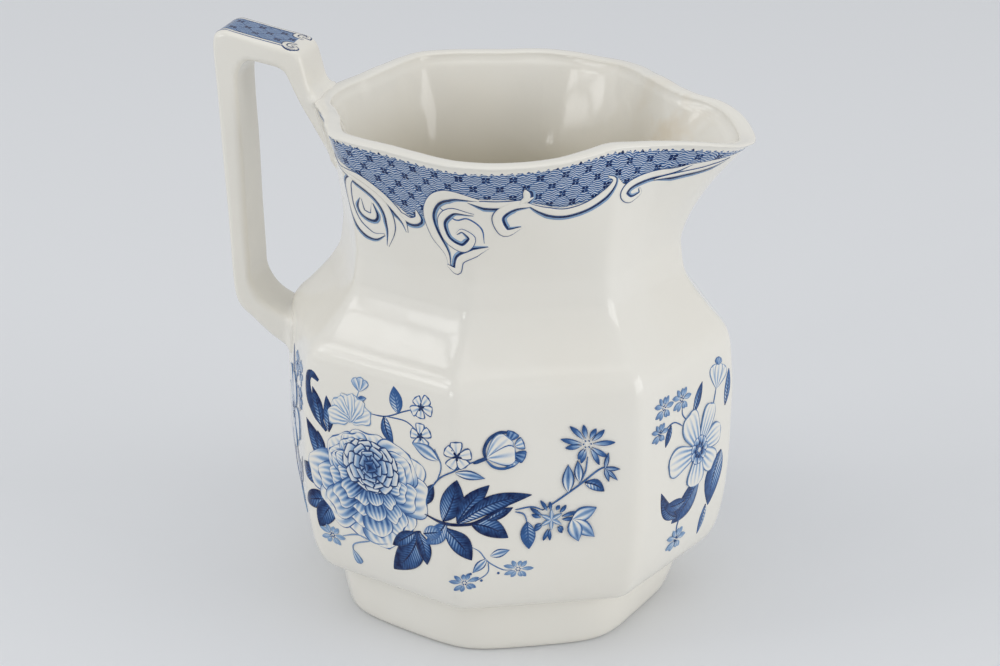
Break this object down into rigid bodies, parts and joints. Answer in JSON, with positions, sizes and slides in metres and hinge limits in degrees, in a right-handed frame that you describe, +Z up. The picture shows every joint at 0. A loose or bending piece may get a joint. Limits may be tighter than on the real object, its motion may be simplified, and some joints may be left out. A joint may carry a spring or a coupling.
{
  "type": "octagonal porcelain cream jug",
  "caption": "Eight-sided glazed cream jug with a squared strap handle, pouring spout and blue printed flowers.",
  "frame": {"origin": "on the table, at the bottom centre of the whole jug's bounding box; the jug's upright axis is 4.8 mm to the +X side", "axes": "+Z up, +X towards the spout, the handle on -X, and +Y to the left of someone who looks along +X"},
  "size_m": [0.1011, 0.085, 0.1091],
  "materials": {
    "glazed_body": "clear glossy glaze over an ivory body",
    "joint_slip": "smoothed slip under the same glaze",
    "border_ink": "dense blue printed pattern under the glaze",
    "flower_ink": "engraved blue flower print under the glaze"
  },
  "bodies": {
    "root": {"body": "glazed_body", "foot_ring": "glazed_body", "spout": "glazed_body", "handle": "glazed_body", "upper_handle_joint": "joint_slip", "lower_handle_joint": "joint_slip", "border_print_front": "border_ink", "border_print_back": "border_ink", "handle_top_print": "border_ink", "spray_print_front": "flower_ink", "spray_print_back": "flower_ink", "spout_spray_print_front": "flower_ink", "spout_spray_print_back": "flower_ink", "handle_spray_print_front": "flower_ink", "handle_spray_print_back": "flower_ink"}
  },
  "joints": []
}
